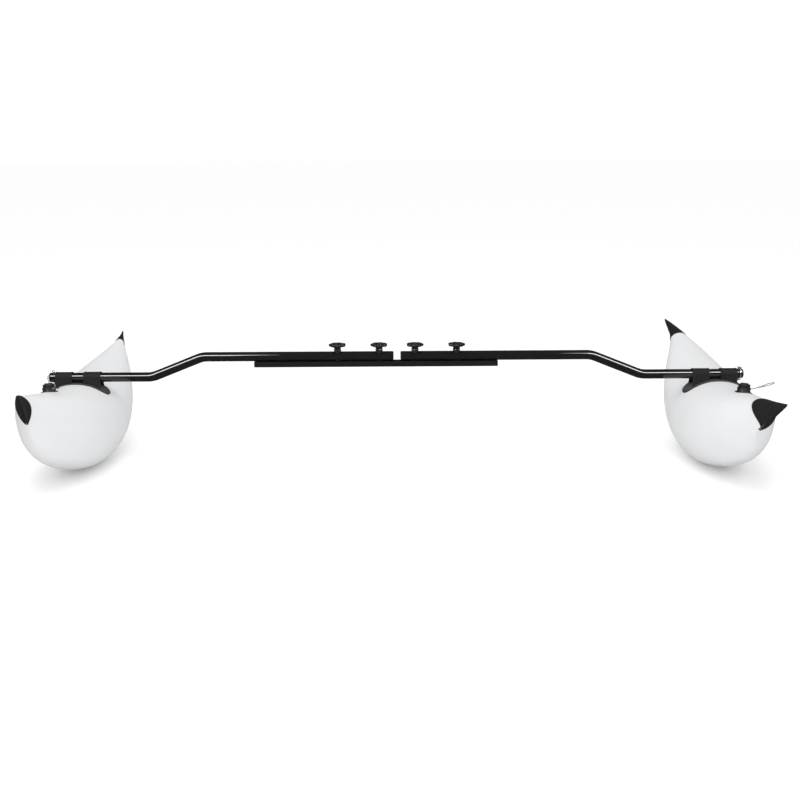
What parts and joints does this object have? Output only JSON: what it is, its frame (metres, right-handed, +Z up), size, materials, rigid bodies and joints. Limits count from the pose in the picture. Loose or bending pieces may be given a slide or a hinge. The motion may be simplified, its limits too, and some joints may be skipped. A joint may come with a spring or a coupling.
{
  "type": "kayak outrigger",
  "caption": "Pair of white inflated stabiliser floats on bent black tubes, clamped by knobs to a slotted cross rail that fastens across a kayak's deck.",
  "frame": {"origin": "on the ground, below the middle of the gap between the two arms", "axes": "+X along the arms towards the right float, +Y along the floats away from the viewer, +Z up"},
  "size_m": [2.142, 1.046, 0.3667],
  "materials": {
    "tube_black": "gloss",
    "rail_black": "satin",
    "black_plastic": "satin",
    "knob_black": "satin",
    "fabric_black": "matte",
    "float_white": "satin",
    "steel": "polished",
    "zinc": "satin",
    "wire_coat": "satin"
  },
  "bodies": {
    "rail": {"rail": "rail_black", "rail_end_cap_left": "black_plastic", "rail_end_cap_right": "black_plastic"},
    "arm_left": {"arm_tube_left": "tube_black", "inner_plug_left": "black_plastic", "end_cap_left": "black_plastic", "slot_nut_left_inner": "zinc", "slot_nut_left_outer": "zinc", "saddle_spacer_left_inner": "black_plastic", "saddle_spacer_left_outer": "black_plastic"},
    "arm_right": {"arm_tube_right": "tube_black", "inner_plug_right": "black_plastic", "end_cap_right": "black_plastic", "slot_nut_right_inner": "zinc", "slot_nut_right_outer": "zinc", "saddle_spacer_right_inner": "black_plastic", "saddle_spacer_right_outer": "black_plastic"},
    "washer_left_inner": {"knob_washer_left_inner": "steel"},
    "knob_left_inner": {"knob_grip_left_inner": "knob_black", "knob_cap_left_inner": "knob_black", "clamp_stud_left_inner": "steel"},
    "washer_left_outer": {"knob_washer_left_outer": "steel"},
    "knob_left_outer": {"knob_grip_left_outer": "knob_black", "knob_cap_left_outer": "knob_black", "clamp_stud_left_outer": "steel"},
    "washer_right_inner": {"knob_washer_right_inner": "steel"},
    "knob_right_inner": {"knob_grip_right_inner": "knob_black", "knob_cap_right_inner": "knob_black", "clamp_stud_right_inner": "steel"},
    "washer_right_outer": {"knob_washer_right_outer": "steel"},
    "knob_right_outer": {"knob_grip_right_outer": "knob_black", "knob_cap_right_outer": "knob_black", "clamp_stud_right_outer": "steel"},
    "pin_left": {"lock_pin_left": "steel"},
    "clip_left": {"pin_clip_left": "steel"},
    "pin_right": {"lock_pin_right": "steel"},
    "clip_right": {"pin_clip_right": "steel"},
    "float_body_left": {"float_left": "float_white", "tip_near_left": "fabric_black", "tip_far_left": "fabric_black", "base_pad_left": "fabric_black", "sleeve_inner_left": "fabric_black", "sleeve_outer_left": "fabric_black", "valve_flange_left": "black_plastic", "valve_body_left": "black_plastic", "valve_pull_left": "wire_coat", "pull_ferrule_left": "zinc"},
    "valve_left": {"valve_cap_left": "black_plastic"},
    "float_body_right": {"float_right": "float_white", "tip_near_right": "fabric_black", "tip_far_right": "fabric_black", "base_pad_right": "fabric_black", "sleeve_inner_right": "fabric_black", "sleeve_outer_right": "fabric_black", "valve_flange_right": "black_plastic", "valve_body_right": "black_plastic", "valve_pull_right": "wire_coat", "pull_ferrule_right": "zinc"},
    "valve_right": {"valve_cap_right": "black_plastic"}
  },
  "joints": [
    {"name": "arm_slide_left", "type": "slide", "parent": "rail", "child": "arm_left", "axis": [-1, 0, 0], "range_m": [-0.0075, 0.22]},
    {"name": "arm_slide_right", "type": "slide", "parent": "rail", "child": "arm_right", "axis": [1, 0, 0], "range_m": [-0.0075, 0.097]},
    {"name": "knob_lift_left_inner", "type": "slide", "parent": "arm_left", "child": "washer_left_inner", "axis": [0, 0, 1], "range_m": [0, 0.0025]},
    {"name": "knob_turn_left_inner", "type": "hinge", "parent": "washer_left_inner", "child": "knob_left_inner", "pos_m": [-0.053, 0, 0.3489], "axis": [0, 0, 1], "range_deg": [0, 722]},
    {"name": "knob_lift_left_outer", "type": "slide", "parent": "arm_left", "child": "washer_left_outer", "axis": [0, 0, 1], "range_m": [0, 0.0025]},
    {"name": "knob_turn_left_outer", "type": "hinge", "parent": "washer_left_outer", "child": "knob_left_outer", "pos_m": [-0.176, 0, 0.3489], "axis": [0, 0, 1], "range_deg": [0, 722]},
    {"name": "knob_lift_right_inner", "type": "slide", "parent": "arm_right", "child": "washer_right_inner", "axis": [0, 0, 1], "range_m": [0, 0.0025]},
    {"name": "knob_turn_right_inner", "type": "hinge", "parent": "washer_right_inner", "child": "knob_right_inner", "pos_m": [0.053, 0, 0.3489], "axis": [0, 0, 1], "range_deg": [0, 722]},
    {"name": "knob_lift_right_outer", "type": "slide", "parent": "arm_right", "child": "washer_right_outer", "axis": [0, 0, 1], "range_m": [0, 0.0025]},
    {"name": "knob_turn_right_outer", "type": "hinge", "parent": "washer_right_outer", "child": "knob_right_outer", "pos_m": [0.176, 0, 0.3489], "axis": [0, 0, 1], "range_deg": [0, 722]},
    {"name": "float_swivel_left", "type": "hinge", "parent": "arm_left", "child": "float_body_left", "pos_m": [-0.949, 0, 0.267], "axis": [1, 0, 0], "continuous": true},
    {"name": "float_swivel_right", "type": "hinge", "parent": "arm_right", "child": "float_body_right", "pos_m": [0.949, 0, 0.267], "axis": [1, 0, 0], "continuous": true},
    {"name": "pin_swing_left", "type": "hinge", "parent": "arm_left", "child": "pin_left", "pos_m": [-1.019, 0, 0.267], "axis": [0, 0, 1], "range_deg": [-142, 38]},
    {"name": "pin_swing_right", "type": "hinge", "parent": "arm_right", "child": "pin_right", "pos_m": [1.019, 0, 0.267], "axis": [0, 0, 1], "range_deg": [0, 180]},
    {"name": "clip_swing_left", "type": "hinge", "parent": "pin_left", "child": "clip_left", "pos_m": [-1.019, 0, 0.28513], "axis": [-0.788, 0.6157, 0], "range_deg": [0, 65]},
    {"name": "clip_swing_right", "type": "hinge", "parent": "pin_right", "child": "clip_right", "pos_m": [1.019, 0, 0.28513], "axis": [-1, 0, 0], "range_deg": [0, 65]},
    {"name": "valve_turn_left", "type": "hinge", "parent": "float_body_left", "child": "valve_left", "pos_m": [-0.9637, -0.20825, 0.28694], "axis": [-0.0905, 0.1784, 0.9798], "continuous": true},
    {"name": "valve_turn_right", "type": "hinge", "parent": "float_body_right", "child": "valve_right", "pos_m": [0.9637, -0.20904, 0.27529], "axis": [0.0905, 0.1234, 0.9882], "continuous": true}
  ],
  "couplings": [
    {"joint": "knob_turn_left_inner", "follows": "knob_lift_left_inner", "rad_per_m": 5026.5},
    {"joint": "knob_turn_left_outer", "follows": "knob_lift_left_outer", "rad_per_m": 5026.5},
    {"joint": "knob_turn_right_inner", "follows": "knob_lift_right_inner", "rad_per_m": 5026.5},
    {"joint": "knob_turn_right_outer", "follows": "knob_lift_right_outer", "rad_per_m": 5026.5}
  ]
}
